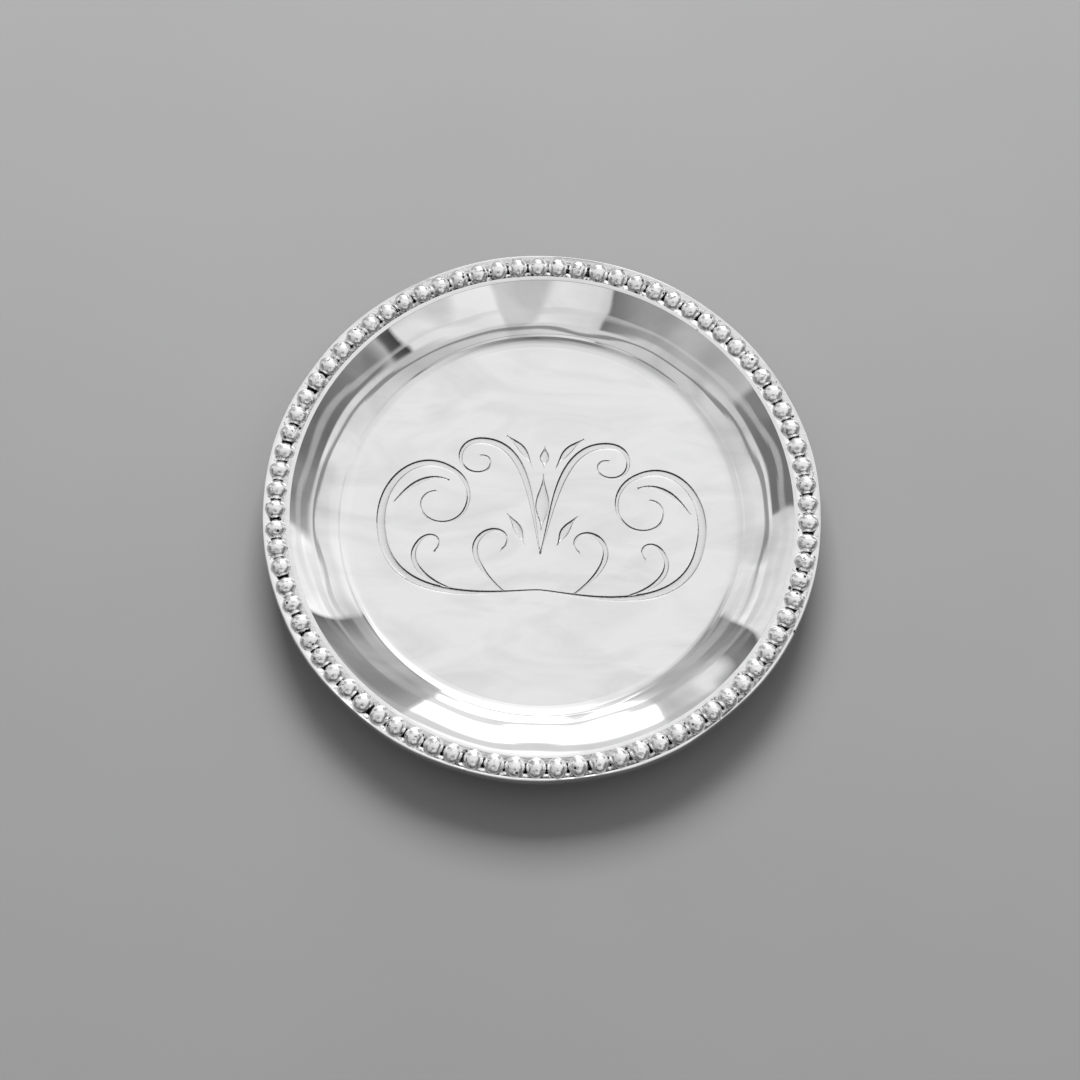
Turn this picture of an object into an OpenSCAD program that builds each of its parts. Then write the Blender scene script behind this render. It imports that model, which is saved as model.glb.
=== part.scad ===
// Small round silver salver with a beaded border.
// A spun dish carries three soldered rings on its flange and one under its floor.
// Origin at the middle of the footprint, +Z up, millimetres.

/* [Dish] */
// Overall diameter over the outer lip
overall_d = 152; // [110:1:260]
// Depth of the well, from the lip down to the floor
well_depth = 9.7; // [7:0.1:20]
// How far the wall reaches inwards, from the lip to the edge of the flat floor
wall_run = 17; // [12:0.1:26]
// Radius of the cove where the floor turns up into the wall
cove_r = 7; // [4:0.1:12]
// Thickness of the metal of the dish
gauge = 1.6; // [0.8:0.1:3]

/* [Beaded border] */
// Diameter of one bead
bead_d = 5.5; // [3:0.1:8]
// Smallest gap between two beads
bead_gap = 0.1; // [0.05:0.05:1]
// How far the middle of a bead lies below the lip
bead_sink = 1; // [0:0.1:1.8]
// Thickness of the strip that joins the beads
strip_t = 0.5; // [0.3:0.1:1]
// Gap between the beaded wire and the plain wires beside it
solder_gap = 0.05; // [0.02:0.01:0.2]

/* [Plain wires] */
// Height of the lip above the flange
lip_h = 2.2; // [1.9:0.1:4]
// Width of the outer lip wire
outer_lip_w = 0.95; // [0.7:0.05:2]
// Width of the inner lip wire at the lip
inner_lip_w = 0.8; // [0.7:0.05:2]
// Radius of the rounded top edges of the lips
lip_round = 0.3; // [0.1:0.05:0.33]

/* [Foot ring] */
// Height of the foot ring
foot_h = 2.4; // [1:0.1:8]
// Width of the foot ring where it meets the dish
foot_w = 2.6; // [2:0.1:6]
// Width of the flat face that the foot ring stands on
foot_rest_w = 1.6; // [1:0.1:2]
// How far the foot ring stands in from the edge of the flat floor
foot_inset = 5; // [2:0.5:15]

/* [Hidden] */

// Sides of a full round face, and points along an arc of an outline
round_fn = 128;
bead_fn = 48;
arc_steps = 12;

// Heights, from the surface that the foot ring stands on
floor_z = foot_h + gauge;
lip_z = floor_z + well_depth;
flange_z = lip_z - lip_h;
bead_z = lip_z - bead_sink;

// Radii of the border, from the outside in
overall_r = overall_d / 2;
flange_r = overall_r - outer_lip_w;
bead_ring_r = flange_r - solder_gap - bead_d / 2;
inner_wire_r = bead_ring_r - bead_d / 2 - solder_gap;
mouth_r = inner_wire_r - inner_lip_w;
floor_r = mouth_r - wall_run;
foot_r = floor_r - foot_inset;

// As many beads as go round with the gap between them
bead_count = floor(180 / asin((bead_d + bead_gap) / 2 / bead_ring_r));

// The wall is two arcs, each a slope at every point: the cove turns up from the floor to
// the mean pitch of the wall, and a wider arc goes on from there to the lip.
cove_turn = atan2(well_depth, wall_run);
cove_c = [floor_r, floor_z + cove_r];
cove_end = on_arc(cove_c, cove_r, cove_turn);
wall_chord = [mouth_r, lip_z] - cove_end;
wall_pitch = atan2(wall_chord[1], wall_chord[0]);
wall_r = norm(wall_chord) / 2 / sin(wall_pitch - cove_turn);
wall_c = cove_end + wall_r * [-sin(cove_turn), cos(cove_turn)];
lip_slope = 2 * wall_pitch - cove_turn;
flange_slope = slope_at(wall_r, flange_z);
under_slope = slope_at(wall_r + gauge, flange_z - gauge);

// The point of an arc about c where its slope is the angle a
function on_arc(c, r, a) = c + r * [sin(a), -cos(a)];

// The slope of an arc about the wall's centre where it reaches the height z
function slope_at(r, z) = acos((wall_c[1] - z) / r);

// Points along an arc about c, from slope a to slope b
function arc(c, r, a, b) = [for (i = [0:arc_steps]) on_arc(c, r, a + (b - a) * i / arc_steps)];

// The two faces of the wall's metal, from the floor outwards: 0 is the top, gauge the underside
function wall_face(depth, end_slope) = concat(
    arc(cove_c, cove_r + depth, 0, cove_turn),
    after_first(arc(wall_c, wall_r + depth, cove_turn, end_slope))
);

// The points of a list without its first
function after_first(points) = [for (i = [1:len(points) - 1]) points[i]];

// The points of a list from its last to its first
function backwards(points) = [for (i = [len(points) - 1:-1:0]) points[i]];

module turned(outline) {
    rotate_extrude($fn = round_fn)
        polygon(outline);
}

// The spun body: floor, cove, wall and the flange that carries the border
module dish() {
    color([0.86, 0.86, 0.87])
        turned(concat(
            [[0, floor_z]],
            wall_face(0, flange_slope),
            [[flange_r, flange_z], [flange_r, flange_z - gauge]],
            backwards(wall_face(gauge, under_slope)),
            [[0, foot_h]]
        ));
}

// The beaded wire: beads with their backs cut flat, on a strip
module bead_border() {
    strip_in = inner_wire_r + solder_gap;
    color([0.8, 0.8, 0.81])
        difference() {
            union() {
                translate([0, 0, flange_z])
                    washer(strip_in, flange_r - solder_gap, strip_t);
                for (i = [0:bead_count - 1])
                    rotate([0, 0, i * 360 / bead_count])
                        translate([bead_ring_r, 0, bead_z])
                            sphere(d = bead_d, $fn = bead_fn);
            }
            translate([0, 0, flange_z - bead_d])
                cylinder(r = overall_r, h = bead_d, $fn = round_fn);
        }
}

module washer(r_in, r_out, h) {
    difference() {
        cylinder(r = r_out, h = h, $fn = round_fn);
        translate([0, 0, -h])
            cylinder(r = r_in, h = 3 * h, $fn = round_fn);
    }
}

// The plain wire inside the beads, whose inner face carries the wall on up to the lip
module inner_lip_wire() {
    shoulder_c = [inner_wire_r - lip_round, lip_z - lip_round];
    color([0.9, 0.9, 0.91])
        turned(concat(
            arc(wall_c, wall_r, flange_slope, lip_slope),
            backwards(arc(shoulder_c, lip_round, 90, 180)),
            [[inner_wire_r, flange_z]]
        ));
}

// The plain wire around the beads, which closes the cut edge of the flange
module outer_lip_wire() {
    inner_c = [flange_r + lip_round, lip_z - lip_round];
    outer_c = [overall_r - lip_round, lip_z - lip_round];
    under_c = [overall_r - lip_round, flange_z - gauge + lip_round];
    color([0.9, 0.9, 0.91])
        turned(concat(
            [[flange_r, flange_z - gauge]],
            arc(under_c, lip_round, 0, 90),
            arc(outer_c, lip_round, 90, 180),
            arc(inner_c, lip_round, 180, 270)
        ));
}

// The ring that the salver stands on, narrower at its flat foot
module foot_ring() {
    taper = (foot_w - foot_rest_w) / 2;
    color([0.84, 0.84, 0.85])
        turned([
            [foot_r - foot_w, foot_h],
            [foot_r - foot_w + taper, 0],
            [foot_r - taper, 0],
            [foot_r, foot_h]
        ]);
}

dish();
bead_border();
inner_lip_wire();
outer_lip_wire();
foot_ring();
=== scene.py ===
import math
import random

import bpy
import numpy as np
from bpy.props import FloatProperty, FloatVectorProperty, IntProperty, PointerProperty
from mathutils import Matrix, Vector, noise
from mathutils.geometry import delaunay_2d_cdt


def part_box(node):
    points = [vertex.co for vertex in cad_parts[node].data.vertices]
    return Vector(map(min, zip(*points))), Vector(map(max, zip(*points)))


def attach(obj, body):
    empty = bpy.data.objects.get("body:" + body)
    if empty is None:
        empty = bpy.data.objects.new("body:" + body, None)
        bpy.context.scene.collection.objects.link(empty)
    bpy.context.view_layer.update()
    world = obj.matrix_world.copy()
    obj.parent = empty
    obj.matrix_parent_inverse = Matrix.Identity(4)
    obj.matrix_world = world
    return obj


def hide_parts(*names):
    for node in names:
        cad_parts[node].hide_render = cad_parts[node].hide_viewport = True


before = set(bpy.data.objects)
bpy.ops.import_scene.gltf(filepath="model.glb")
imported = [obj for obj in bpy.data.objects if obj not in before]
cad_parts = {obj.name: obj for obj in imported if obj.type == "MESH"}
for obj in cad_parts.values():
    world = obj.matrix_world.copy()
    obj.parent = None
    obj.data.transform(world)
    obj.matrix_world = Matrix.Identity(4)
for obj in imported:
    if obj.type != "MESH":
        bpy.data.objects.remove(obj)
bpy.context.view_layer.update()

bl_info = {
    "name": "Beaded Silver Salver",
    "version": (1, 0, 0),
    "blender": (4, 5, 0),
    "location": "View3D > Sidebar > Salver",
    "description": "Dresses the packed salver: engraved dish, beaded wire, plain lips and foot ring",
    "category": "Object",
}

MM = 0.001
FULL_TURN = 2 * math.pi


# ---- measures of the frame

def reach(node):
    """How far a CAD node reaches from the Z axis."""
    return max(math.hypot(v.co.x, v.co.y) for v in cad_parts[node].data.vertices)


def reach_at(node, height):
    """How far a CAD node reaches from the Z axis at one height."""
    level = [v.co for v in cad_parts[node].data.vertices if abs(v.co.z - height) < 1e-6]
    return max(math.hypot(co.x, co.y) for co in level)


LIP_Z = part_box("outer_lip_wire")[1].z
FLANGE_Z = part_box("bead_border")[0].z
BEAD_TOP_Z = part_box("bead_border")[1].z
GAUGE = FLANGE_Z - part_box("outer_lip_wire")[0].z
FOOT_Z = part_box("foot_ring")[1].z
FLOOR_Z = FOOT_Z + GAUGE
RIM_R = reach("outer_lip_wire")
FLANGE_R = reach("dish")
SEAT_R = reach("inner_lip_wire")
FOOT_R = reach("foot_ring")
STRIP_R = reach("bead_border")
WELL_FLOOR_R = reach_at("dish", FLOOR_Z)


# ---- settings

class SalverShape(bpy.types.PropertyGroup):
    cove_radius: FloatProperty(
        name="Cove radius", description="Radius where the floor turns up into the wall",
        default=7 * MM, min=0.004, max=0.012, precision=5, unit="LENGTH", subtype="DISTANCE")
    lip_width: FloatProperty(
        name="Inner lip width", description="Width of the plain wire inside the beads",
        default=0.8 * MM, min=0.0005, max=0.002, precision=5, unit="LENGTH", subtype="DISTANCE")
    land_fall: FloatProperty(
        name="Fall of the lips", description="How far the top of each lip slopes down inwards",
        default=0.13 * MM, min=0, max=0.0003, precision=5, unit="LENGTH", subtype="DISTANCE")
    rim_wobble: FloatProperty(
        name="Rim wobble", description="How much the hand filed outer edge wanders",
        default=0.35 * MM, min=0, max=0.0008, precision=5, unit="LENGTH", subtype="DISTANCE")
    sway: FloatProperty(
        name="Sway", description="Height of the slow waves that hand polishing leaves",
        default=0.035 * MM, min=0, max=0.0001, precision=6, unit="LENGTH", subtype="DISTANCE")
    turns: IntProperty(
        name="Steps round", description="Faces around each turned piece",
        default=640, min=96, max=1024, subtype="UNSIGNED")


class BeadSettings(bpy.types.PropertyGroup):
    count: IntProperty(
        name="Beads", description="Number of beads around the border",
        default=81, min=40, max=160, subtype="UNSIGNED")
    diameter: FloatProperty(
        name="Bead diameter", description="Diameter of one bead",
        default=5.5 * MM, min=0.003, max=0.008, precision=5, unit="LENGTH", subtype="DISTANCE")
    unevenness: FloatProperty(
        name="Unevenness", description="How much one bead differs from the next",
        default=0.035, min=0, max=0.1, subtype="FACTOR")
    neck: FloatProperty(
        name="Neck radius", description="Radius of the metal that links two beads",
        default=0.6 * MM, min=0, max=0.002, precision=5, unit="LENGTH", subtype="DISTANCE")


class EngravingSettings(bpy.types.PropertyGroup):
    depth: FloatProperty(
        name="Depth", description="Depth of the widest cuts",
        default=0.42 * MM, min=0, max=0.001, precision=5, unit="LENGTH", subtype="DISTANCE")
    shoulder: FloatProperty(
        name="Shoulder", description="Width of the rounded edge beside each cut",
        default=0.1 * MM, min=0.00005, max=0.0005, precision=5, unit="LENGTH", subtype="DISTANCE")
    size: FloatProperty(
        name="Size", description="Scale of the scroll on the floor",
        default=1.0, min=0.5, max=1.1, subtype="FACTOR")


class SilverSettings(bpy.types.PropertyGroup):
    bright: FloatVectorProperty(
        name="Bright silver", description="Colour of the polished metal",
        default=(0.93, 0.93, 0.935), min=0, max=1, subtype="COLOR")
    bead: FloatVectorProperty(
        name="Bead silver", description="Colour of the rubbed crowns of the beads",
        default=(0.98, 0.98, 0.98), min=0, max=1, subtype="COLOR")
    worn: FloatVectorProperty(
        name="Hazy silver", description="Colour where the polish has gone soft",
        default=(0.82, 0.82, 0.83), min=0, max=1, subtype="COLOR")
    cut: FloatVectorProperty(
        name="Cut silver", description="Colour at the bottom of the engraving",
        default=(0.74, 0.74, 0.75), min=0, max=1, subtype="COLOR")
    # The dark colour of tarnish, casting pits and painted shade.
    oxide_and_shade: FloatVectorProperty(
        name="Oxide and painted shade", description="Colour of the dark film between the beads",
        default=(0.05, 0.048, 0.046), min=0, max=1, subtype="COLOR")
    mirror: FloatProperty(
        name="Mirror roughness", description="Roughness of the polished well",
        default=0.015, min=0, max=0.3, subtype="FACTOR")
    satin: FloatProperty(
        name="Satin roughness", description="Roughness of the turned underside",
        default=0.34, min=0, max=0.6, subtype="FACTOR")


class StageSettings(bpy.types.PropertyGroup):
    floor_colour: FloatVectorProperty(
        name="Floor colour", description="Colour of the plain floor",
        default=(0.44, 0.44, 0.445), min=0, max=1, subtype="COLOR")
    backdrop: FloatVectorProperty(
        name="Backdrop colour", description="Colour of the plain backdrop past the floor",
        default=(0.44, 0.44, 0.445), min=0, max=1, subtype="COLOR")
    tent: FloatProperty(
        name="Tent brightness", description="Brightness that the metal mirrors",
        default=1.06, min=0, max=4, subtype="FACTOR")
    fill: FloatProperty(
        name="Fill brightness", description="Brightness of the tent on the floor",
        default=0.5, min=0, max=4, subtype="FACTOR")
    folds: FloatProperty(
        name="Folds", description="How far the edges of the tent's panels bend",
        default=0.9, min=0, max=2, unit="ROTATION", subtype="ANGLE")
    key_power: FloatProperty(
        name="Key power", description="Power of the soft light behind the salver",
        default=14.0, min=0, max=200, unit="POWER")
    lens: FloatProperty(
        name="Lens", description="Focal length of the camera",
        default=110.0, min=20, max=300, unit="CAMERA")
    elevation: FloatProperty(
        name="Elevation", description="Angle of the view above the horizon",
        default=math.radians(70.4), min=0, max=math.pi / 2, unit="ROTATION", subtype="ANGLE")
    roll: FloatProperty(
        name="Roll", description="Turn of the camera about its own view",
        default=math.radians(2.58), min=-0.5, max=0.5, unit="ROTATION", subtype="ANGLE")
    frame_width: FloatProperty(
        name="Frame width", description="Width of the picture at the lip",
        default=292.6 * MM, min=0.1, max=1, precision=4, unit="LENGTH", subtype="DISTANCE")


# ---- shape of the well

def on_arc(centre, radius, slope):
    """The point of an arc where its slope is that angle, as (radius from Z, height)."""
    return (centre[0] + radius * math.sin(slope), centre[1] - radius * math.cos(slope))


def arc(centre, radius, first, last, steps):
    """Points along an arc from one slope to another."""
    return [on_arc(centre, radius, first + (last - first) * i / steps) for i in range(steps + 1)]


class Well:
    """The cove and wall of the well: two arcs, tangent where they meet."""

    def __init__(self, shape):
        self.mouth_r = SEAT_R - shape.lip_width
        self.floor_r = WELL_FLOOR_R
        self.cove_radius = shape.cove_radius
        self.turn = math.atan2(LIP_Z - FLOOR_Z, self.mouth_r - self.floor_r)
        self.cove_c = (self.floor_r, FLOOR_Z + self.cove_radius)
        end = on_arc(self.cove_c, self.cove_radius, self.turn)
        run, rise = self.mouth_r - end[0], LIP_Z - end[1]
        pitch = math.atan2(rise, run)
        self.radius = math.hypot(run, rise) / 2 / math.sin(pitch - self.turn)
        self.centre = (end[0] - self.radius * math.sin(self.turn),
                       end[1] + self.radius * math.cos(self.turn))

    def slope_at(self, height, depth=0.0):
        """Slope of the wall, or of its underside at that depth of metal, at a height."""
        return math.acos((self.centre[1] - height) / (self.radius + depth))

    def face(self, top_z, depth=0.0, steps=(14, 20)):
        """Points up the wall, or up its underside, from the flat floor to a height."""
        cove = arc(self.cove_c, self.cove_radius + depth, 0, self.turn, steps[0])
        wall = arc(self.centre, self.radius + depth, self.turn, self.slope_at(top_z, depth), steps[1])
        return cove + wall[1:]


def corner(centre, radius, first, last, steps=5):
    """Points round a small edge radius, from one slope to another in degrees."""
    return arc(centre, radius, math.radians(first), math.radians(last), steps)


# The way, across and along the salver, toward the front: the sides of small shapes that face it get painted
# shade.
PAINTED_SHADE_WAY = np.array([0.34, -0.94])


# ---- mesh helpers

def slow_waves(x, y, height, seed=7, shortest=14 * MM, longest=42 * MM, count=9):
    """The slow waves that hand polishing leaves over the whole piece."""
    draw = random.Random(seed)
    total = np.zeros_like(x)
    for _ in range(count):
        heading = draw.uniform(0, FULL_TURN)
        pace = FULL_TURN / draw.uniform(shortest, longest)
        total += np.sin(pace * (x * math.cos(heading) + y * math.sin(heading)) + draw.uniform(0, FULL_TURN))
    return height * total / math.sqrt(count)


def spun_rings(radius):
    """Height of the faint rings that spinning leaves, and of the crease at each end of the cove."""
    wide, fine, crease_w, crease_drop = 4.6 * MM, 2.1 * MM, 0.22 * MM, 0.03 * MM
    rings = 0.003 * MM * np.sin(FULL_TURN * radius / wide + 1)
    rings += 0.001 * MM * np.sin(FULL_TURN * radius / fine)
    out = radius - WELL_FLOOR_R
    fade = np.clip(out / (2 * MM), 0, 1)
    creases = sum(np.exp(-((out - place) / crease_w) ** 2) for place in (0.5 * MM, 3.4 * MM))
    return rings * fade - crease_drop * creases


def ripple(angle, orders, seed):
    """A wandering line round a circle, between about -1 and 1."""
    draw = random.Random(seed)
    total = np.zeros_like(angle)
    for order in orders:
        total += np.sin(order * angle + draw.uniform(0, FULL_TURN)) * draw.uniform(0.6, 1)
    return total / math.sqrt(len(orders))


def turned(rows, shape, closed=True, warp=None):
    """Vertices and faces of an outline turned about Z. warp may move the grid of points.

    The slow waves fade out down the foot, so that it stands flat.
    """
    radius, height = (np.repeat(np.array(part)[:, None], shape.turns, 1) for part in zip(*rows))
    angle = np.repeat(np.linspace(0, FULL_TURN, shape.turns, endpoint=False)[None, :], len(rows), 0)
    if warp:
        radius, height = warp(radius, height, angle)
    x, y = radius * np.cos(angle), radius * np.sin(angle)
    height = height + slow_waves(x, y, shape.sway) * np.clip(height / FOOT_Z, 0, 1)
    verts = np.stack([x, y, height], -1).reshape(-1, 3)
    faces = []
    for row in range(len(rows) if closed else len(rows) - 1):
        here, there = row * shape.turns, (row + 1) % len(rows) * shape.turns
        for i in range(shape.turns):
            j = (i + 1) % shape.turns
            faces.append((here + i, here + j, there + j, there + i))
    return verts, faces


def placed(name, data):
    """A new object in the scene."""
    made = bpy.data.objects.new(name, data)
    bpy.context.scene.collection.objects.link(made)
    return made


def make_piece(name, verts, faces, material, node, masks=None):
    """A smooth shaded piece that stands for a CAD node. masks are numbers stored on its vertices."""
    mesh = bpy.data.meshes.new(name)
    mesh.from_pydata([tuple(v) for v in verts], [], faces)
    for mask, values in (masks or {}).items():
        mesh.attributes.new(mask, "FLOAT", "POINT").data.foreach_set("value", values)
    mesh.shade_smooth()
    mesh.set_sharp_from_angle(angle=math.radians(28))
    mesh.materials.append(material)
    piece = placed(name, mesh)
    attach(piece, "root")
    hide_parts(node)
    return piece


# ---- engraving

# The right half of the scroll, in millimetres from the middle of the floor. Each stroke is
# a chain of cubic curves, its widths where it starts, swells and ends, and where it swells.
SCROLL = (
    (((0, -19.5), (8, -19.5), (40, -27.5), (43.5, -5), (46.5, 9), (36, 20), (26, 15),
      (17, 11), (19.5, -1.5), (28, -1), (34.5, -0.5), (35, 7.5), (29.5, 8)), (0.5, 2.4, 0.35), 0.4),
    (((0, -9), (3, 4), (4, 23), (17, 23.5), (25, 24), (25, 13.5), (18, 14),
      (13.5, 14.5), (14, 19.5), (17.5, 19)), (0.35, 2.0, 0.35), 0.42),
    (((9.5, -20.2), (16, -15), (21, -8), (15.5, -3.5), (11, -0.5), (7, -5), (10.5, -8)),
     (0.35, 1.5, 0.35), 0.45),
    (((22, -20.5), (30, -19), (38, -13), (33, -6.5), (30, -3), (26, -6), (28.5, -9)),
     (0.35, 1.4, 0.35), 0.45),
    (((40.5, 4.5), (37, 9.5), (31, 13.5), (26.5, 11.5)), (0.25, 1.2, 0.25), 0.5),
    (((4.6, -6.2), (5.6, -3.4), (7.4, 0.2), (9.6, 2.2)), (0.2, 2.3, 0.2), 0.45),
    (((3.4, 16.5), (4.6, 19.5), (7, 23), (10.5, 25)), (0.2, 1.9, 0.2), 0.5),
)
# The leaves on the scroll's own middle line.
MIDDLE = (
    (((0, -2), (0, 3), (0, 9), (0, 14)), (0.2, 3.8, 0.2), 0.45),
    (((0, 16.5), (0, 18), (0, 21), (0, 22.5)), (0.2, 2.6, 0.2), 0.45),
)


# Shape of a cut, in millimetres: how wide the edge beside it rolls and by how much it drops, how
# far in from the edge its grained bottom is whole, and the middle and width of the dark line on its wall,
# which is tarnish and painted shade.
ROLL_W, ROLL_DROP = 0.6, 0.07
BOTTOM_IN = 0.12
WALL_IN, WALL_W = 0.07, 0.22


class Cut:
    """One engraved stroke: points along its middle, its half widths, and its sideways direction."""

    def __init__(self, chain, widths, swell, settings, mirrored=False, step=0.3):
        flip = np.array([-1.0 if mirrored else 1.0, 1.0])
        knots = np.array(chain, float) * flip * settings.size
        t = np.linspace(0, 1, 60)[:, None]
        path = []
        for i in range(0, len(knots) - 3, 3):
            a, b, c, d = knots[i:i + 4]
            path.append(a * (1 - t) ** 3 + 3 * b * t * (1 - t) ** 2 + 3 * c * t * t * (1 - t) + d * t ** 3)
        path = np.vstack(path)
        along = np.r_[0, np.cumsum(np.hypot(*np.diff(path, axis=0).T))]
        even = np.linspace(0, along[-1], max(8, int(along[-1] / step)))
        self.points = np.stack([np.interp(even, along, path[:, k]) for k in (0, 1)], -1)
        place = even / along[-1]
        first, widest, last = widths
        rising = first + (widest - first) * np.sin(math.pi / 2 * np.minimum(place / swell, 1)) ** 2
        left = (1 - place) / (1 - swell)
        falling = last + (widest - last) * np.sin(math.pi / 2 * np.minimum(left, 1)) ** 2
        self.half = np.where(place < swell, rising, falling) / 2 * settings.size
        self.forward = np.gradient(self.points, axis=0)
        self.forward /= np.hypot(*self.forward.T)[:, None]
        self.side = np.stack([-self.forward[:, 1], self.forward[:, 0]], -1)

    def row(self, share, beyond=0.0):
        """Points beside the stroke, at a share of its half width and a little beyond."""
        return self.points + self.side * (self.half * share + math.copysign(beyond, share))[:, None]

    def depth_at(self, points, deepest):
        """Depth of this cut at each point, where each is inside it, and its wall's dark line of tarnish and
        painted shade.
        """
        low, high = self.points.min(0) - 3, self.points.max(0) + 3
        near = np.where(((points > low) & (points < high)).all(1))[0]
        depth, inside, wall = (np.zeros(len(points)) for _ in range(3))
        for part in np.array_split(near, max(1, len(near) // 2000)):
            gap = points[part][:, None, :] - self.points[None, :, :]
            closest = (gap ** 2).sum(-1).argmin(1)
            gap = gap[np.arange(len(part)), closest]
            ahead = (gap * self.forward[closest]).sum(-1)
            past_end = ((closest == 0) & (ahead < 0)) | ((closest == len(self.points) - 1) & (ahead > 0))
            across = np.where(past_end, np.hypot(*gap.T), np.abs((gap * self.side[closest]).sum(-1)))
            half = self.half[closest]
            share = np.clip(1 - (across / half) ** 5, 0, None)
            roll = np.clip(1 - (across - half) / ROLL_W, 0, 1) ** 2 * np.minimum(1, 1.3 * half)
            depth[part] = np.minimum(deepest, 0.75 * half) * share + ROLL_DROP * roll
            inside[part] = np.clip((half - across) / BOTTOM_IN, 0, 1)
            # The dark line on both walls is tarnish; the wall that faces the front also gets painted shade.
            shade_facing = -(gap * PAINTED_SHADE_WAY).sum(-1) / np.maximum(np.hypot(*gap.T), 1e-6)
            edge = np.clip(1.3 - np.abs(across - half + WALL_IN) / WALL_W, 0, 1)
            wall[part] = edge * np.clip(0.38 + shade_facing, 0, 1)
        return depth, inside, wall


def all_cuts(settings):
    """Every cut of the scroll, with its right half mirrored to the left."""
    cuts = [Cut(*stroke, settings) for stroke in MIDDLE]
    for stroke in SCROLL:
        cuts += [Cut(*stroke, settings), Cut(*stroke, settings, mirrored=True)]
    return cuts


def thinned(points, gap):
    """The points, without those closer than the gap to an earlier one."""
    cells, kept = {}, []
    for x, y in points:
        cell = (int(x // gap), int(y // gap))
        beside = ((cell[0] + i, cell[1] + j) for i in (-1, 0, 1) for j in (-1, 0, 1))
        around = (p for place in beside for p in cells.get(place, ()))
        if all((x - p[0]) ** 2 + (y - p[1]) ** 2 >= gap * gap for p in around):
            cells.setdefault(cell, []).append((x, y))
            kept.append((x, y))
    return kept


def floor_points(cuts, settings, radius):
    """Points of the engraved floor in millimetres: rows along every cut, and an open grid between."""
    shoulder = settings.shoulder / MM
    rows = [cut.row(side) for cut in cuts for side in (1, -1)]
    rows += [cut.row(side, shoulder) for cut in cuts for side in (1, -1)]
    rows += [cut.row(share) for cut in cuts for share in (0.94, -0.94, 0.84, -0.84, 0.65, -0.65, 0)]
    rows += [cut.row(side, reach * shoulder) for cut in cuts for reach in (2.5, 5) for side in (1, -1)]
    fine = np.vstack(rows)
    pitch, reach_steps = 1.5, 50
    steps = range(-reach_steps, reach_steps + 1)
    grid = [((i + j % 2 / 2) * pitch, j * pitch * math.sqrt(3) / 2) for j in steps for i in steps]
    middles = np.vstack([cut.points for cut in cuts])
    halves = np.concatenate([cut.half for cut in cuts])
    grid = np.array([p for p in grid if math.hypot(*p) < radius - 0.8 * pitch])
    clear = [p for p in grid if (np.hypot(*(middles - p).T) - halves).min() > 7 * shoulder]
    fine = fine[np.hypot(*fine.T) < radius - 1]
    return thinned([tuple(p) for p in fine], 0.08) + [tuple(p) for p in clear]


def engraved_floor(settings, shape, radius):
    """Vertices, faces and masks of the flat floor with its engraving. The edge ring comes first."""
    edge_r = radius / MM
    turns = [i * FULL_TURN / shape.turns for i in range(shape.turns)]
    edge = [(edge_r * math.cos(turn), edge_r * math.sin(turn)) for turn in turns]
    cuts = all_cuts(settings)
    places = edge + floor_points(cuts, settings, edge_r)
    out, _, faces, origins, _, _ = delaunay_2d_cdt([Vector(p) for p in places], [], [], 0, 1e-6)
    if len(out) != len(places):
        raise RuntimeError("the floor's points were merged, so its edge ring can't be joined")
    order = [origin[0] for origin in origins]
    faces = [tuple(order[i] for i in face) for face in faces]
    flat = np.array(places)
    depth, inside, wall = (np.zeros(len(flat)) for _ in range(3))
    for cut in cuts:
        found = cut.depth_at(flat, settings.depth / MM)
        wall = np.where(found[0] > depth, found[2], wall)
        depth, inside = np.maximum(depth, found[0]), np.maximum(inside, found[1])
    x, y = flat[:, 0] * MM, flat[:, 1] * MM
    z = FLOOR_Z - depth * MM + slow_waves(x, y, shape.sway)
    return np.stack([x, y, z], -1), faces, {"cut": inside, "film_and_shade": wall}


# ---- shared finishes

def new_group(name, inputs, outputs):
    """An empty shader node group with named inputs (name, kind, default) and outputs (name, kind)."""
    group = bpy.data.node_groups.new(name, "ShaderNodeTree")
    for label, kind, default in inputs:
        group.interface.new_socket(label, in_out="INPUT", socket_type=kind).default_value = default
    for label, kind in outputs:
        group.interface.new_socket(label, in_out="OUTPUT", socket_type=kind)
    return group, group.nodes.new("NodeGroupInput"), group.nodes.new("NodeGroupOutput")


def fed(tree, made, links, values):
    """The node, with its inputs set to values and linked to outputs."""
    for key, value in values.items():
        made.inputs[key.replace("_", " ")].default_value = value
    for key, output in (links or {}).items():
        tree.links.new(output, made.inputs[key])
    return made


def node(tree, kind, links=None, **values):
    """A node with its settings and inputs set, and linked to the given outputs."""
    made = tree.nodes.new("ShaderNode" + kind)
    settings = {k: v for k, v in values.items() if hasattr(made, k)}
    for key, value in settings.items():
        setattr(made, key, value)
    return fed(tree, made, links, {k: v for k, v in values.items() if k not in settings})


def own_place(tree):
    """Where a point lies on the piece itself."""
    return node(tree, "TexCoord").outputs["Object"]


def math_node(tree, operation, *values):
    """A maths node over outputs or plain numbers."""
    made = tree.nodes.new("ShaderNodeMath")
    made.operation = operation
    for i, value in enumerate(values):
        if isinstance(value, (int, float)):
            made.inputs[i].default_value = value
        else:
            tree.links.new(value, made.inputs[i])
    return made.outputs[0]


def between(tree, value, low, high, top=1.0, smooth=False):
    """A share that goes from 0 to top as a value goes from low to high."""
    made = node(tree, "MapRange", {"Value": value}, From_Min=low, From_Max=high, To_Max=top)
    if smooth:
        made.interpolation_type = "SMOOTHSTEP"
    return made.outputs[0]


def mix_colour(tree, share, first, second):
    """A colour between two, by a share that changes over the surface."""
    made = tree.nodes.new("ShaderNodeMix")
    made.data_type = "RGBA"
    tree.links.new(share, made.inputs[0])
    for socket, value in ((made.inputs[6], first), (made.inputs[7], second)):
        if isinstance(value, bpy.types.NodeSocket):
            tree.links.new(value, socket)
        else:
            socket.default_value = (*value, 1)
    return made.outputs[2]


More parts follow.
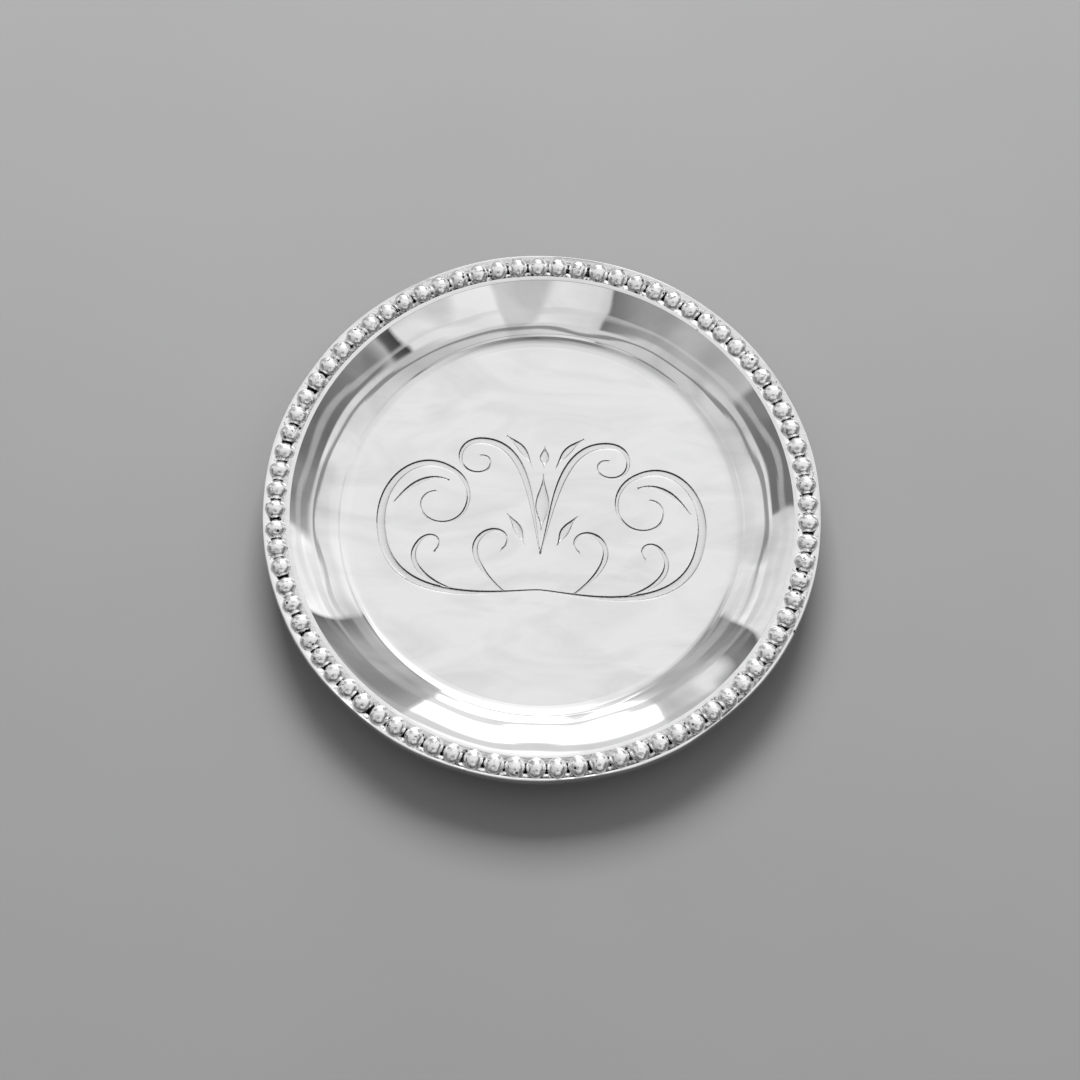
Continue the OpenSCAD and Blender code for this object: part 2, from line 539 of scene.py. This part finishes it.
def build_hand_polish():
    """Fine crossing polishing lines, and the slow haze that the cloth leaves."""
    group, given, out = new_group(
        "Hand polish",
        [("Line scale", "NodeSocketFloat", 900.0), ("Haze scale", "NodeSocketFloat", 60.0)],
        [("Lines", "NodeSocketFloat"), ("Haze", "NodeSocketFloat")])
    place = own_place(group)
    heights = []
    for turn in (0.4, 1.7):
        spun = node(group, "Mapping", {"Vector": place})
        spun.inputs["Rotation"].default_value = (0, 0, turn)
        spun.inputs["Scale"].default_value = (1, 0.05, 1)
        lines = node(group, "TexNoise", {"Vector": spun.outputs[0], "Scale": given.outputs["Line scale"]},
                     Detail=3.0, Roughness=0.6)
        heights.append(lines.outputs[0])
    group.links.new(math_node(group, "MULTIPLY", *heights), out.inputs["Lines"])
    drawn = node(group, "Mapping", {"Vector": place})
    drawn.inputs["Scale"].default_value = (0.6, 1.5, 1)
    haze = node(group, "TexNoise", {"Vector": drawn.outputs[0], "Scale": given.outputs["Haze scale"]},
                Detail=4.0, Roughness=0.55, Distortion=1.6)
    group.links.new(haze.outputs[0], out.inputs["Haze"])
    return group


def build_casting_pits():
    """Small round pits left in cast metal."""
    group, given, out = new_group(
        "Casting pits",
        [("Scale", "NodeSocketFloat", 600.0), ("Share", "NodeSocketFloat", 0.2)],
        [("Pits", "NodeSocketFloat"), ("Creases", "NodeSocketFloat")])
    place = own_place(group)
    cells = node(group, "TexVoronoi", {"Vector": place, "Scale": given.outputs["Scale"]}, Randomness=1.0)
    hole = between(group, cells.outputs["Distance"], 0.3, 0.12, smooth=True)
    pick = node(group, "SeparateColor", {"Color": cells.outputs["Color"]})
    chosen = math_node(group, "LESS_THAN", pick.outputs[0], given.outputs["Share"])
    group.links.new(math_node(group, "MULTIPLY", hole, chosen), out.inputs["Pits"])
    folds = node(group, "TexNoise", {"Vector": place}, Scale=230.0, Detail=3.0, Distortion=0.6)
    off_line = math_node(group, "ABSOLUTE", math_node(group, "SUBTRACT", folds.outputs[0], 0.5))
    line = between(group, off_line, 0.012, 0.0)
    breaks = node(group, "TexNoise", {"Vector": place}, Scale=400.0)
    kept = between(group, breaks.outputs[0], 0.48, 0.6)
    group.links.new(math_node(group, "MULTIPLY", line, kept), out.inputs["Creases"])
    return group


def build_oxide_and_shade():
    """Dark colour: a mask of tarnish and painted shade, broken up by grain, turned into a share of the dark
    colour.
    """
    group, given, out = new_group(
        "Oxide and painted shade",
        [("Dark mask", "NodeSocketFloat", 0.0), ("Grain scale", "NodeSocketFloat", 900.0)],
        [("Oxide and painted shade", "NodeSocketFloat"), ("Grain", "NodeSocketFloat")])
    place = own_place(group)
    grain = node(group, "TexNoise", {"Vector": place, "Scale": given.outputs["Grain scale"]},
                 Detail=5.0, Roughness=0.7)
    uneven = math_node(group, "MULTIPLY", math_node(group, "SUBTRACT", grain.outputs[0], 0.5), 0.9)
    broken = math_node(group, "ADD", given.outputs["Dark mask"], uneven)
    group.links.new(between(group, broken, 0.35, 0.75, smooth=True), out.inputs["Oxide and painted shade"])
    group.links.new(grain.outputs[0], out.inputs["Grain"])
    return group


def build_turning_marks():
    """Fine rings left by turning about Z."""
    group, given, out = new_group(
        "Turning marks", [("Ring scale", "NodeSocketFloat", 2500.0)], [("Rings", "NodeSocketFloat")])
    place = own_place(group)
    parts = node(group, "SeparateXYZ", {"Vector": place})
    square = [math_node(group, "MULTIPLY", parts.outputs[i], parts.outputs[i]) for i in (0, 1)]
    radius = math_node(group, "SQRT", math_node(group, "ADD", *square))
    both = node(group, "CombineXYZ", {"X": radius, "Y": parts.outputs["Z"]})
    rings = node(group, "TexNoise", {"Vector": both.outputs[0], "Scale": given.outputs["Ring scale"]},
                 Detail=2.0, Roughness=0.5)
    group.links.new(rings.outputs[0], out.inputs["Rings"])
    return group


FINISHES = {
    "Hand polish": build_hand_polish,
    "Casting pits": build_casting_pits,
    "Oxide and painted shade": build_oxide_and_shade,
    "Turning marks": build_turning_marks,
}


def finish_node(tree, name, links=None, **values):
    """A shared finish placed in a material, with its own values."""
    group = bpy.data.node_groups.get(name) or FINISHES[name]()
    made = tree.nodes.new("ShaderNodeGroup")
    made.node_tree = group
    return fed(tree, made, links, values)


def metal(name):
    """A metal material and its shader."""
    material = bpy.data.materials.new(name)
    material.use_nodes = True
    shader = material.node_tree.nodes["Principled BSDF"]
    shader.inputs["Metallic"].default_value = 1.0
    return material, material.node_tree, shader


def coat(tree, shader, colour, roughness):
    """Gives a shader its colour and its roughness."""
    tree.links.new(colour, shader.inputs["Base Color"])
    tree.links.new(roughness, shader.inputs["Roughness"])


def bump(tree, shader, *layers):
    """Adds bump layers (height, distance in metres, strength) to a shader, the coarsest first."""
    normal = None
    for height, distance, strength in layers:
        links = {"Height": height}
        if normal:
            links["Normal"] = normal
        normal = node(tree, "Bump", links, Distance=distance, Strength=strength).outputs[0]
    tree.links.new(normal, shader.inputs["Normal"])


def mask(tree, name):
    """A number stored on the mesh's vertices."""
    return node(tree, "Attribute", attribute_name=name).outputs["Fac"]


def polished_silver(silver):
    """The well: a mirror with soft haze, and grey grained metal at the bottom of the cuts."""
    material, tree, shader = metal("polished_silver")
    polish = finish_node(tree, "Hand polish", Line_scale=1400.0, Haze_scale=45.0)
    cut = mask(tree, "cut")
    haze = between(tree, polish.outputs["Haze"], 0.4, 0.68)
    clean = mix_colour(tree, haze, silver.bright, silver.worn)
    grain = node(tree, "TexNoise", {"Vector": own_place(tree)}, Scale=3200.0, Detail=4.0, Roughness=0.7)
    floor_of_cut = math_node(tree, "MULTIPLY", cut, grain.outputs[0])
    # Tarnish and painted shade along the walls of the cuts, from the floor's mask.
    oxide_and_shade = finish_node(tree, "Oxide and painted shade", {"Dark mask": mask(tree, "film_and_shade")}, Grain_scale=2200.0)
    worked = mix_colour(tree, floor_of_cut, clean, silver.cut)
    colour = mix_colour(tree, oxide_and_shade.outputs["Oxide and painted shade"], worked, silver.oxide_and_shade)
    rough = math_node(tree, "MULTIPLY_ADD", haze, 0.02, silver.mirror)
    coat(tree, shader, colour, math_node(tree, "MULTIPLY_ADD", cut, 0.12, rough))
    bump(tree, shader, (floor_of_cut, 0.00006, 1.0), (polish.outputs["Lines"], 0.000002, 0.3))
    return material


def lip_silver(silver):
    """The plain wires: bright, with file and cloth marks."""
    material, tree, shader = metal("lip_silver")
    polish = finish_node(tree, "Hand polish", Line_scale=1000.0, Haze_scale=220.0)
    pits = finish_node(tree, "Casting pits", Scale=420.0, Share=0.03)
    haze = between(tree, polish.outputs["Haze"], 0.3, 0.75)
    clean = mix_colour(tree, haze, silver.bright, silver.worn)
    coat(tree, shader, mix_colour(tree, pits.outputs["Pits"], clean, silver.oxide_and_shade),
         math_node(tree, "MULTIPLY_ADD", haze, 0.08, 0.04))
    bump(tree, shader, (polish.outputs["Haze"], 0.00006, 0.6), (polish.outputs["Lines"], 0.000005, 0.4))
    return material


def bead_silver(silver):
    """The beads: bright crowns with casting pits, and dark colour in between and low down: tarnish and
    painted shade.
    """
    material, tree, shader = metal("bead_silver")
    polish = finish_node(tree, "Hand polish", Line_scale=1500.0, Haze_scale=420.0)
    pits = finish_node(tree, "Casting pits", Scale=520.0, Share=0.16)
    # Tarnish and painted shade, from the mask stored on the beads.
    oxide_and_shade = finish_node(tree, "Oxide and painted shade", {"Dark mask": mask(tree, "oxide_and_shade_mask")}, Grain_scale=1300.0)
    flaws = math_node(tree, "MAXIMUM", pits.outputs["Pits"], pits.outputs["Creases"])
    dark = math_node(tree, "MAXIMUM", oxide_and_shade.outputs["Oxide and painted shade"], flaws)
    haze = between(tree, polish.outputs["Haze"], 0.45, 0.75)
    clean = mix_colour(tree, haze, silver.bead, silver.worn)
    rough = math_node(tree, "MULTIPLY_ADD", polish.outputs["Haze"], 0.07, 0.02)
    coat(tree, shader, mix_colour(tree, dark, clean, silver.oxide_and_shade),
         math_node(tree, "MULTIPLY_ADD", dark, 0.35, rough))
    sunk = math_node(tree, "MULTIPLY", flaws, -1.0)
    bump(tree, shader, (polish.outputs["Haze"], 0.0002, 0.5), (sunk, 0.0002, 0.8),
         (oxide_and_shade.outputs["Grain"], 0.00004, 0.5))
    return material


def turned_silver(silver):
    """The underside and foot: satin metal with turning rings."""
    material, tree, shader = metal("turned_silver")
    polish = finish_node(tree, "Hand polish", Line_scale=900.0, Haze_scale=70.0)
    rings = finish_node(tree, "Turning marks", Ring_scale=2600.0)
    haze = between(tree, polish.outputs["Haze"], 0.3, 0.75)
    coat(tree, shader, mix_colour(tree, haze, silver.bright, silver.worn),
         math_node(tree, "MULTIPLY_ADD", haze, 0.12, silver.satin - 0.06))
    bump(tree, shader, (rings.outputs["Rings"], 0.00001, 0.6), (polish.outputs["Lines"], 0.000004, 0.3))
    return material


# ---- pieces

class SALVER_OT_dish(bpy.types.Operator):
    """Spins the dish and engraves the scroll on its floor"""
    bl_idname = "salver.dish"
    bl_label = "Engraved dish"

    def spun(self, radius, height, angle):
        """Adds the spinning rings, below the seat of the wires."""
        ringed = (radius > WELL_FLOOR_R) & (radius < SEAT_R - 1 * MM)
        return radius, height + np.where(ringed, spun_rings(radius), 0)

    def execute(self, context):
        shape, silver = context.scene.salver_shape, context.scene.salver_silver
        well = Well(shape)
        floor, floor_faces, masks = engraved_floor(context.scene.salver_engraving, shape, well.floor_r)
        top = well.face(FLANGE_Z, 0, (24, 30))
        rows = top + [(FLANGE_R, FLANGE_Z), (FLANGE_R, FLANGE_Z - GAUGE)]
        rows += well.face(FLANGE_Z - GAUGE, GAUGE, (10, 14))[::-1]
        rows += [(well.floor_r * share, FOOT_Z) for share in (0.9, 0.7, 0.5, 0.3, 0.1)]
        verts, faces = turned(rows, shape, closed=False, warp=self.spun)
        shift = len(floor) - shape.turns
        verts = np.vstack([floor, verts[shape.turns:]])
        faces = [tuple(i + shift if i >= shape.turns else i for i in face) for face in faces]
        last_ring = range(len(verts) - shape.turns, len(verts))
        faces.append(tuple(last_ring))
        rest = np.zeros(len(verts) - len(floor))
        masks = {name: np.concatenate([values, rest]) for name, values in masks.items()}
        piece = make_piece("engraved_dish", verts, floor_faces + faces, polished_silver(silver),
                           "dish", masks)
        piece.data.materials.append(turned_silver(silver))
        under = len(floor_faces) + (len(top) + 1) * shape.turns
        for face in piece.data.polygons[under:]:
            face.material_index = 1
        return {"FINISHED"}


class SALVER_OT_beads(bpy.types.Operator):
    """Lays the beaded wire on the flange, each bead a little different"""
    bl_idname = "salver.beads"
    bl_label = "Beaded wire"

    def bed(self, shape):
        """Outline of the soldered bed the beads sit in, a valley between lands, and its mask of tarnish and
        painted shade, darker down the valley.
        """
        outline, oxide_and_shade_mask = [], []
        steps = 22
        valley, valley_share, land_slope, lap = 1.3 * MM, 0.62, 0.75 * MM, 0.02 * MM
        low_r, high_r = SEAT_R - lap, FLANGE_R + lap
        for i in range(steps + 1):
            across = -1 + 2 * i / steps
            depth = 0.5 * math.cos(math.pi * min(1, abs(across) / valley_share)) + 0.5
            edge_z = LIP_Z - (shape.land_fall if across > 0 else 0)
            land = edge_z - land_slope * (1 - abs(across))
            outline.append((low_r + (high_r - low_r) * i / steps, land - depth * valley))
            oxide_and_shade_mask.append(min(1, 1.3 * depth + 0.16))
        outline += [(high_r, FLANGE_Z), (low_r, FLANGE_Z)]
        return outline[::-1], [0, 0] + oxide_and_shade_mask[::-1]

    def execute(self, context):
        shape, beads = context.scene.salver_shape, context.scene.salver_beads
        radius = beads.diameter / 2
        ring_r = STRIP_R - radius
        middle_z = BEAD_TOP_Z - radius
        cut_angle = math.acos(-(middle_z - FLANGE_Z) / radius)
        draw = random.Random(23)
        across, down = 40, 20
        verts, faces, oxide_and_shade_mask = [], [], []
        for k in range(beads.count):
            turn = k * FULL_TURN / beads.count + draw.gauss(0, 0.0006)
            size = [full - abs(draw.gauss(0, 0.4)) * beads.unevenness for full in (1.15, 1.05, 1)]
            lean = Matrix.Rotation(draw.gauss(0, 0.1), 3, "X") @ Matrix.Rotation(draw.gauss(0, 0.1), 3, "Y")
            seed = Vector([draw.uniform(-50, 50) for _ in range(3)])
            place = Matrix.Rotation(turn, 3, "Z")
            first = len(verts)
            for j in range(down + 1):
                polar = cut_angle * j / down
                for i in range(across if j else 1):
                    spin = FULL_TURN * i / across
                    out = math.sin(polar)
                    way = Vector((out * math.cos(spin), out * math.sin(spin), math.cos(polar)))
                    lump = noise.noise(way * 1.3 + seed) + 0.35 * noise.noise(way * 4 + seed)
                    dents = 1 + beads.unevenness * (0.8 * lump - 0.35)
                    body = lean @ Vector([w * s * radius * dents for w, s in zip(way, size)])
                    if j == down:
                        body.z = FLANGE_Z - middle_z
                    verts.append(place @ (body + Vector((ring_r, 0, middle_z))))
                    # Low on each bead and where it meets its neighbours: tarnish and painted shade. On the
                    # side that faces the front: painted shade.
                    shade_side = PAINTED_SHADE_WAY @ (place @ way).xy
                    oxide_and_shade_mask.append(0.44 - 1.6 * way.z + 0.35 * abs(way.y) ** 8 + 0.42 * shade_side)
            faces += [(first, first + 1 + i, first + 1 + (i + 1) % across) for i in range(across)]
            for j in range(1, down):
                here, there = first + 1 + (j - 1) * across, first + 1 + j * across
                faces += [(here + i, there + i, there + (i + 1) % across, here + (i + 1) % across)
                          for i in range(across)]
            faces.append(tuple(first + 1 + (down - 1) * across + i for i in range(across))[::-1])
        bead_verts = np.array(verts)
        bead_verts[:, 2] += slow_waves(bead_verts[:, 0], bead_verts[:, 1], shape.sway)
        bead_verts[:, 2] -= max(0, bead_verts[:, 2].max() - BEAD_TOP_Z)
        bed, bed_oxide_and_shade = self.bed(shape)
        neck_drop, neck_sides = 0.7 * MM, 16
        last = FULL_TURN * (neck_sides - 1) / neck_sides
        neck = arc((ring_r, middle_z - neck_drop), beads.neck, 0, last, neck_sides - 1)
        all_verts, all_faces = [bead_verts], list(faces)
        masks = [np.clip(oxide_and_shade_mask, 0, 1)]
        # The bed darker down its valley and the neck half dark all round: tarnish and painted shade. Both
        # get painted shade on the side that faces the front.
        for outline, dark in ((bed, bed_oxide_and_shade), (neck, [0.5] * len(neck))):
            more_verts, more_faces = turned(outline, shape)
            shift = sum(len(v) for v in all_verts)
            all_verts.append(more_verts)
            all_faces += [tuple(i + shift for i in face) for face in more_faces]
            off_ring = (np.hypot(*more_verts[:, :2].T) - ring_r) / radius
            shade_side = off_ring * (more_verts[:, :2] @ PAINTED_SHADE_WAY) / ring_r
            masks.append(np.clip(np.repeat(dark, shape.turns) + 0.55 * shade_side, 0, 1))
        make_piece("beaded_wire", np.vstack(all_verts), all_faces, bead_silver(context.scene.salver_silver),
                   "bead_border", {"oxide_and_shade_mask": np.concatenate(masks)})
        return {"FINISHED"}


class SALVER_OT_lips(bpy.types.Operator):
    """Turns the two plain wires, the outer one filed by hand"""
    bl_idname = "salver.lips"
    bl_label = "Plain lips"

    def execute(self, context):
        shape, silver = context.scene.salver_shape, context.scene.salver_silver
        well = Well(shape)
        fall = shape.land_fall
        edge, crest = 0.1 * MM, 0.14 * MM
        face_end = well.slope_at(LIP_Z - fall - edge)
        face = arc(well.centre, well.radius, well.slope_at(FLANGE_Z), face_end, 8)
        mouth = corner((face[-1][0] + edge, face[-1][1]), edge, 270 - math.degrees(face_end) / 2, 190, 4)
        inner = face + mouth + corner((SEAT_R - crest, LIP_Z - crest), crest, 186, 180, 3)
        inner += [(SEAT_R, LIP_Z), (SEAT_R, FLANGE_Z)]
        verts, faces = turned(inner[::-1], shape)
        lip = make_piece("inner_lip", verts, faces, lip_silver(silver), "inner_lip_wire")
        lip.data.materials.append(polished_silver(silver))
        for polygon in lip.data.polygons:
            if polygon.center.xy.length < well.mouth_r and polygon.normal.z > 0.3:
                polygon.material_index = 1

        round_r = 0.3 * MM
        low = FLANGE_Z - GAUGE
        bulge = 0.12 * MM
        outer = [(FLANGE_R, low)]
        outer += corner((RIM_R - bulge - round_r, low + round_r), round_r, 0, 80)
        outer += [(RIM_R, (low + LIP_Z) / 2)]
        outer += corner((RIM_R - bulge - round_r, LIP_Z - round_r), round_r, 100, 180)
        outer += [(FLANGE_R, LIP_Z - fall)]

        def filed(radius, height, angle):
            share = np.clip((radius - FLANGE_R) / (RIM_R - FLANGE_R), 0, 1)
            wander = ripple(angle, (8, 9, 11, 13, 14), 3) * 0.5
            chatter = ripple(angle, (53, 71, 88, 117), 5) * 0.045
            inwards = shape.rim_wobble * np.clip(0.45 + wander + chatter, 0, 1.2)
            return radius - share * inwards, height

        verts, faces = turned(outer, shape, warp=filed)
        make_piece("outer_lip", verts, faces, lip_silver(silver), "outer_lip_wire")
        return {"FINISHED"}


class SALVER_OT_foot(bpy.types.Operator):
    """Turns the foot ring under the floor"""
    bl_idname = "salver.foot"
    bl_label = "Foot ring"

    def execute(self, context):
        shape = context.scene.salver_shape
        width, taper, edge = 2.6 * MM, 0.5 * MM, 0.2 * MM
        inner_r = FOOT_R - width
        rows = [(inner_r, FOOT_Z)]
        rows += corner((inner_r + taper + edge, edge), edge, -100, 0)
        rows += corner((FOOT_R - taper - edge, edge), edge, 0, 100)
        rows += [(FOOT_R - taper / 3, FOOT_Z * 0.6), (FOOT_R, FOOT_Z)]
        verts, faces = turned(rows, shape)
        make_piece("turned_foot", verts, faces, turned_silver(context.scene.salver_silver),
                   "foot_ring")
        return {"FINISHED"}


# ---- stage

# Shades of the tent's panels, in rings about the way that the flat floor looks. Each ring has
# the angles from there that it blends over, and (degrees round, shade), with 0 behind the salver.
POLE_SHADE = 0.905
RINGS = (
    (5, 20, (
        (-178, 0.84), (-150, 0.88), (-60, 0.90), (-40, 0.90), (-20, 0.94), (0, 1.02), (22, 0.98),
        (45, 0.91), (100, 0.92), (150, 0.90))),
    (20, 48, (
        (-178, 0.40), (-168, 0.62), (-150, 0.69), (-115, 0.73), (-90, 0.84), (-62, 0.82),
        (-49, 0.60), (-46, 0.42), (-36, 0.70), (-24, 0.85), (-14, 1.1), (2, 1.45), (28, 1.35),
        (45, 1.0), (66, 0.93), (110, 0.88), (140, 0.82), (154, 0.68), (166, 0.52), (177, 0.25))),
    (51, 55, (
        (-178, 0.83), (-156, 0.80), (-134, 0.78), (-115, 0.83), (-80, 0.91), (-50, 0.98),
        (-48, 0.50), (-34, 0.60), (-22, 0.84), (-17, 0.90), (-14, 1.3), (22, 1.3), (25, 0.80),
        (38, 0.62), (48, 0.45), (50, 0.90), (62, 0.97), (72, 0.83), (86, 0.95), (112, 0.82),
        (130, 0.74), (154, 0.80), (174, 0.84))),
    (58.6, 59.3, (
        (-176, 0.86), (-166, 0.80), (-163, 0.45), (-146, 0.60), (-120, 0.78), (-117, 0.43),
        (-79, 0.45), (-77, 0.84), (-50, 0.92), (-48, 0.40), (-35, 0.52), (-32, 0.92), (-21, 0.76),
        (-17, 0.80), (-15, 1.35), (25, 1.35), (27, 0.68), (48, 0.40), (50, 1.0), (66, 1.0),
        (70, 0.66), (82, 0.48), (98, 0.42), (116, 0.50), (124, 0.70), (127, 0.35), (134, 0.25),
        (136, 0.88), (168, 0.92))),
    (74, 88, (
        (-180, 0.28), (-150, 0.36), (-110, 0.42), (-70, 0.55), (-40, 0.70), (-20, 1.3), (20, 1.3),
        (40, 0.70), (70, 0.55), (110, 0.40), (150, 0.32))),
)
# Shade of the soft clouds low on the tent
CLOUD_SHADE = 0.6
# Soft seams across the tent, in front of the camera and at its sides. Each has its degrees from
# the same way, its half width, its strength and its shade.
FRONT_SEAMS = (
    (46, 3, 0.5, 0.72), (55.4, 1.2, 0.85, 0.72), (59.4, 0.7, 0.8, 0.72), (66.6, 1.4, 0.85, 0.72))
SIDE_SEAMS = ((57.2, 0.35, 0.75, 0.4), (61.3, 0.6, 0.5, 0.8))


def linear(shade):
    """Linear brightness of a display shade."""
    return ((shade + 0.055) / 1.055) ** 2.4


def shade_ramp(tree, share, stops):
    """A ramp of grey shades round the tent, joined up behind the camera."""
    ramp = node(tree, "ValToRGB", {"Fac": share})
    bar = ramp.color_ramp.elements
    bar.remove(bar[1])
    joined = ((-180, stops[0][1]), *stops, (180, stops[0][1]))
    for i, (degrees, shade) in enumerate(joined):
        stop = bar[0] if i == 0 else bar.new((degrees + 180) / 360)
        stop.position = (degrees + 180) / 360
        stop.color = (*[linear(shade)] * 3, 1)
    return ramp.outputs[0]


def sewn(tree, tent, from_pole, where, middle, half, strength, shade):
    """The tent's colour with one soft seam across it, in the part of it that where lets through."""
    off = math_node(tree, "ABSOLUTE", math_node(tree, "SUBTRACT", from_pole, math.radians(middle)))
    seam = between(tree, off, math.radians(1.5 * half), math.radians(0.5 * half), strength, smooth=True)
    return mix_colour(tree, math_node(tree, "MULTIPLY", seam, where), tent, (linear(shade),) * 3)


def build_tent(context, settings):
    """A tent of soft panels, brightest behind the salver. The camera sees only a plain backdrop."""
    world = bpy.data.worlds.new("Tent")
    context.scene.world = world
    world.use_nodes = True
    tree = world.node_tree
    tree.nodes.clear()
    way = node(tree, "TexCoord").outputs["Generated"]
    parts = node(tree, "SeparateXYZ", {"Vector": way})
    pole = Vector((0, math.cos(settings.elevation), math.sin(settings.elevation)))
    down = Vector((0, math.sin(settings.elevation), -math.cos(settings.elevation)))

    def along(direction):
        made = tree.nodes.new("ShaderNodeVectorMath")
        made.operation = "DOT_PRODUCT"
        tree.links.new(way, made.inputs[0])
        made.inputs[1].default_value = direction
        return made.outputs["Value"]

    round_pole = math_node(tree, "ARCTAN2", parts.outputs["X"], along(down))
    folds = node(tree, "TexNoise", {"Vector": way}, Scale=3.2, Detail=1.0)
    bent = math_node(tree, "MULTIPLY_ADD", folds.outputs[0], settings.folds, round_pole)
    share = math_node(tree, "FRACT", math_node(
        tree, "MULTIPLY_ADD", bent, 1 / FULL_TURN, 0.5 - settings.folds / FULL_TURN / 2))
    from_pole = math_node(tree, "ARCCOSINE", along(pole))
    tent = (linear(POLE_SHADE),) * 3
    for near, far, stops in RINGS:
        blend = between(tree, from_pole, math.radians(near), math.radians(far))
        tent = mix_colour(tree, blend, tent, shade_ramp(tree, share, stops))
    clouds = node(tree, "TexNoise", {"Vector": way}, Scale=2.4, Detail=1.0, Distortion=1.0)
    shaded = between(tree, clouds.outputs[0], 0.5, 0.64, top=0.45, smooth=True)
    low = between(tree, from_pole, math.radians(50), math.radians(58))
    tent = mix_colour(tree, math_node(tree, "MULTIPLY", shaded, low), tent, (linear(CLOUD_SHADE),) * 3)
    front = between(tree, math_node(tree, "ABSOLUTE", round_pole), math.radians(75), math.radians(35))
    sides = math_node(tree, "SUBTRACT", 1.0, front)
    for seams, where in ((FRONT_SEAMS, front), (SIDE_SEAMS, sides)):
        for seam in seams:
            tent = sewn(tree, tent, from_pole, where, *seam)
    shine = node(tree, "Background", {"Color": tent}, Strength=settings.tent)
    fill = node(tree, "Background", {"Color": tent}, Strength=settings.fill)
    plain = node(tree, "Background", Color=(*settings.backdrop, 1), Strength=1.0)
    ray = node(tree, "LightPath")
    lit = node(tree, "MixShader", {0: ray.outputs["Is Diffuse Ray"], 1: shine.outputs[0],
                                   2: fill.outputs[0]})
    seen = node(tree, "MixShader", {0: ray.outputs["Is Camera Ray"], 1: lit.outputs[0],
                                    2: plain.outputs[0]})
    node(tree, "OutputWorld", {0: seen.outputs[0]})


def build_floor(settings):
    """A plain round floor."""
    mesh = bpy.data.meshes.new("floor")
    size, steps = 3.0, 96
    turns = [i * FULL_TURN / steps for i in range(steps)]
    ring = [(size * math.cos(turn), size * math.sin(turn), 0) for turn in turns]
    mesh.from_pydata(ring, [], [tuple(range(steps))])
    floor = placed("floor", mesh)
    material = bpy.data.materials.new("floor_plain")
    material.use_nodes = True
    tree = material.node_tree
    shader = tree.nodes["Principled BSDF"]
    shader.inputs["Roughness"].default_value = 0.9
    shader.inputs["Specular IOR Level"].default_value = 0.1
    cloud = node(tree, "TexNoise", {"Vector": own_place(tree)}, Scale=9.0, Detail=5.0)
    dull, pale = ([c * share for c in settings.floor_colour] for share in (0.95, 1.05))
    tree.links.new(mix_colour(tree, cloud.outputs[0], dull, pale), shader.inputs["Base Color"])
    mesh.materials.append(material)


def build_key(settings):
    """A wide soft light behind and above, which the metal itself doesn't mirror."""
    light = bpy.data.lights.new("key", "AREA")
    light.shape = "RECTANGLE"
    light.size, light.size_y = 0.7, 0.5
    light.energy = settings.key_power
    key = placed("key", light)
    key.location = (-0.05, 0.95, 0.85)
    key.rotation_euler = (Vector((0, 0, 0)) - key.location).to_track_quat("-Z", "Y").to_euler()
    key.visible_glossy = False


def build_camera(context, settings):
    """The camera, rolled a little, with the salver just above the middle of the picture."""
    data = bpy.data.cameras.new("camera")
    data.lens = settings.lens
    camera = placed("camera", data)
    back = Vector((0, -math.cos(settings.elevation), math.sin(settings.elevation)))
    up = Vector((0, math.sin(settings.elevation), math.cos(settings.elevation)))
    right = Vector((1, 0, 0))
    roll = settings.roll
    across = right * math.cos(roll) + up * math.sin(roll)
    upward = up * math.cos(roll) - right * math.sin(roll)
    off_across, off_up = 0.6 * MM, 7.9 * MM
    aim = Vector((0, 0, LIP_Z)) - across * off_across - upward * off_up
    distance = settings.frame_width * data.lens / data.sensor_width
    camera.matrix_world = Matrix.LocRotScale(
        aim + back * distance, Matrix((across, upward, back)).transposed().to_quaternion(), None)
    data.clip_start, data.clip_end = 0.01, 50
    context.scene.camera = camera


class SALVER_OT_stage(bpy.types.Operator):
    """Sets the floor, the soft tent, the key light and the camera"""
    bl_idname = "salver.stage"
    bl_label = "Stage"

    def execute(self, context):
        settings = context.scene.salver_stage
        build_tent(context, settings)
        build_floor(settings)
        build_key(settings)
        build_camera(context, settings)
        context.scene.view_settings.view_transform = "Standard"
        return {"FINISHED"}


class VIEW3D_PT_salver(bpy.types.Panel):
    """Lists the salver's pieces and their settings"""
    bl_label = "Beaded Silver Salver"
    bl_space_type = "VIEW_3D"
    bl_region_type = "UI"
    bl_category = "Salver"

    def draw(self, context):
        layout = self.layout
        for operator in OPERATORS:
            layout.operator(operator.bl_idname)
        for name in SETTINGS:
            settings = getattr(context.scene, name)
            box = layout.box()
            for prop in type(settings).__annotations__:
                box.prop(settings, prop)


SETTINGS = {
    "salver_shape": SalverShape,
    "salver_beads": BeadSettings,
    "salver_engraving": EngravingSettings,
    "salver_silver": SilverSettings,
    "salver_stage": StageSettings,
}
OPERATORS = (SALVER_OT_dish, SALVER_OT_beads, SALVER_OT_lips, SALVER_OT_foot, SALVER_OT_stage)


def register():
    for settings in SETTINGS.values():
        bpy.utils.register_class(settings)
    for cls in (*OPERATORS, VIEW3D_PT_salver):
        bpy.utils.register_class(cls)
    for name, settings in SETTINGS.items():
        setattr(bpy.types.Scene, name, PointerProperty(type=settings))


def unregister():
    for name in SETTINGS:
        delattr(bpy.types.Scene, name)
    for cls in (VIEW3D_PT_salver, *reversed(OPERATORS)):
        bpy.utils.unregister_class(cls)
    for settings in reversed(list(SETTINGS.values())):
        bpy.utils.unregister_class(settings)


def main():
    register()
    bpy.ops.salver.dish()
    bpy.ops.salver.beads()
    bpy.ops.salver.lips()
    bpy.ops.salver.foot()
    bpy.ops.salver.stage()


if __name__ == "__main__":
    main()
